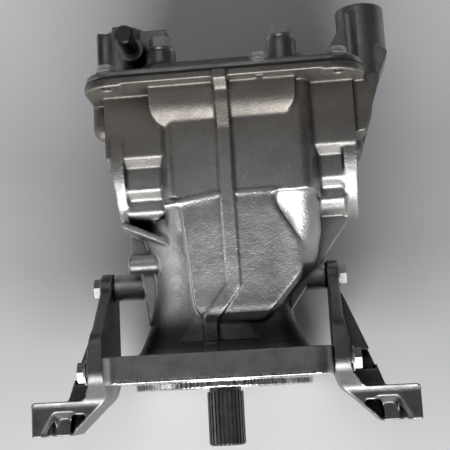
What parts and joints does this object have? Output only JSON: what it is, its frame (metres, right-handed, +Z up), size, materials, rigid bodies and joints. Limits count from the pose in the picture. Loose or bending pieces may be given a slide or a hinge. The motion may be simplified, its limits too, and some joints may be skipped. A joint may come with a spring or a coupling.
{
  "type": "differential carrier",
  "caption": "Rear axle differential carrier: ribbed housing, bolted cover, front flange with splined pinion, two brackets, and a bevel gear set with differential inside.",
  "frame": {"origin": "on the pinion axis, in the front face of the front flange", "axes": "+X to the right with the axle axis along X, +Y rearward from the pinion spline to the cover, +Z up"},
  "size_m": [0.314, 0.3629, 0.177],
  "materials": {
    "cast_aluminium": "sand-cast, matt",
    "cover_aluminium": "sand-cast, matt",
    "bracket_iron": "as-cast, oily",
    "cap_iron": "machined cast",
    "bolt_steel": "zinc, dull",
    "gear_steel": "ground and oiled",
    "shaft_steel": "machined and oiled",
    "bearing_steel": "polished",
    "washer_aluminium": "plain",
    "gasket": "fibre, matt",
    "seal_rubber": "matt",
    "breather_plastic": "moulded, semi-gloss"
  },
  "bodies": {
    "housing": {"carrier_housing": "cast_aluminium", "rear_cover": "cover_aluminium", "cover_gasket": "gasket", "cover_bolts": "bolt_steel", "fill_plug": "bolt_steel", "fill_plug_washer": "washer_aluminium", "drain_plug": "bolt_steel", "drain_plug_washer": "washer_aluminium", "breather_stem": "bolt_steel", "breather_cap": "breather_plastic", "left_mount_sleeve": "bolt_steel", "right_mount_sleeve": "bolt_steel", "right_bracket": "bracket_iron", "left_bracket": "bracket_iron", "right_bracket_bolts": "bolt_steel", "left_bracket_bolts": "bolt_steel", "pinion_seal": "seal_rubber", "left_bearing_cap": "cap_iron", "right_bearing_cap": "cap_iron", "bearing_cap_bolts": "bolt_steel", "left_axle_seal": "seal_rubber", "right_axle_seal": "seal_rubber", "left_side_bearing_cup": "bearing_steel", "right_side_bearing_cup": "bearing_steel", "front_pinion_bearing_cup": "bearing_steel", "head_pinion_bearing_cup": "bearing_steel"},
    "ring_and_case": {"ring_gear": "gear_steel", "ring_gear_bolts": "bolt_steel", "differential_case": "cap_iron", "spider_cross_pin": "bearing_steel", "cross_pin_lock": "bolt_steel", "thrust_washers": "bearing_steel", "left_side_bearing_cone": "bearing_steel", "left_side_bearing_rollers": "bearing_steel", "right_side_bearing_cone": "bearing_steel", "right_side_bearing_rollers": "bearing_steel"},
    "pinion": {"pinion_shaft": "shaft_steel", "pinion_spacer": "bolt_steel", "pinion_nut": "bolt_steel", "front_pinion_bearing_cone": "bearing_steel", "front_pinion_bearing_rollers": "bearing_steel", "head_pinion_bearing_cone": "bearing_steel", "head_pinion_bearing_rollers": "bearing_steel"},
    "left_gear": {"left_side_gear": "gear_steel"},
    "right_gear": {"right_side_gear": "gear_steel"},
    "upper_spider": {"upper_spider_gear": "gear_steel"},
    "lower_spider": {"lower_spider_gear": "gear_steel"}
  },
  "joints": [
    {"name": "ring_spin", "type": "hinge", "parent": "housing", "child": "ring_and_case", "pos_m": [0, 0.188, 0], "axis": [1, 0, 0], "continuous": true},
    {"name": "pinion_spin", "type": "hinge", "parent": "housing", "child": "pinion", "pos_m": [0, 0, 0], "axis": [0, 1, 0], "continuous": true},
    {"name": "left_side_gear_spin", "type": "hinge", "parent": "ring_and_case", "child": "left_gear", "pos_m": [0.006, 0.188, 0], "axis": [1, 0, 0], "continuous": true},
    {"name": "right_side_gear_spin", "type": "hinge", "parent": "ring_and_case", "child": "right_gear", "pos_m": [0.006, 0.188, 0], "axis": [1, 0, 0], "continuous": true},
    {"name": "upper_spider_spin", "type": "hinge", "parent": "ring_and_case", "child": "upper_spider", "pos_m": [0.006, 0.188, 0], "axis": [0, 0, 1], "continuous": true},
    {"name": "lower_spider_spin", "type": "hinge", "parent": "ring_and_case", "child": "lower_spider", "pos_m": [0.006, 0.188, 0], "axis": [0, 0, 1], "continuous": true}
  ],
  "couplings": [
    {"joint": "pinion_spin", "follows": "ring_spin", "ratio": 2.4667},
    {"joint": "right_side_gear_spin", "follows": "left_side_gear_spin", "ratio": -1},
    {"joint": "upper_spider_spin", "follows": "left_side_gear_spin", "ratio": 1.6},
    {"joint": "lower_spider_spin", "follows": "left_side_gear_spin", "ratio": -1.6}
  ]
}
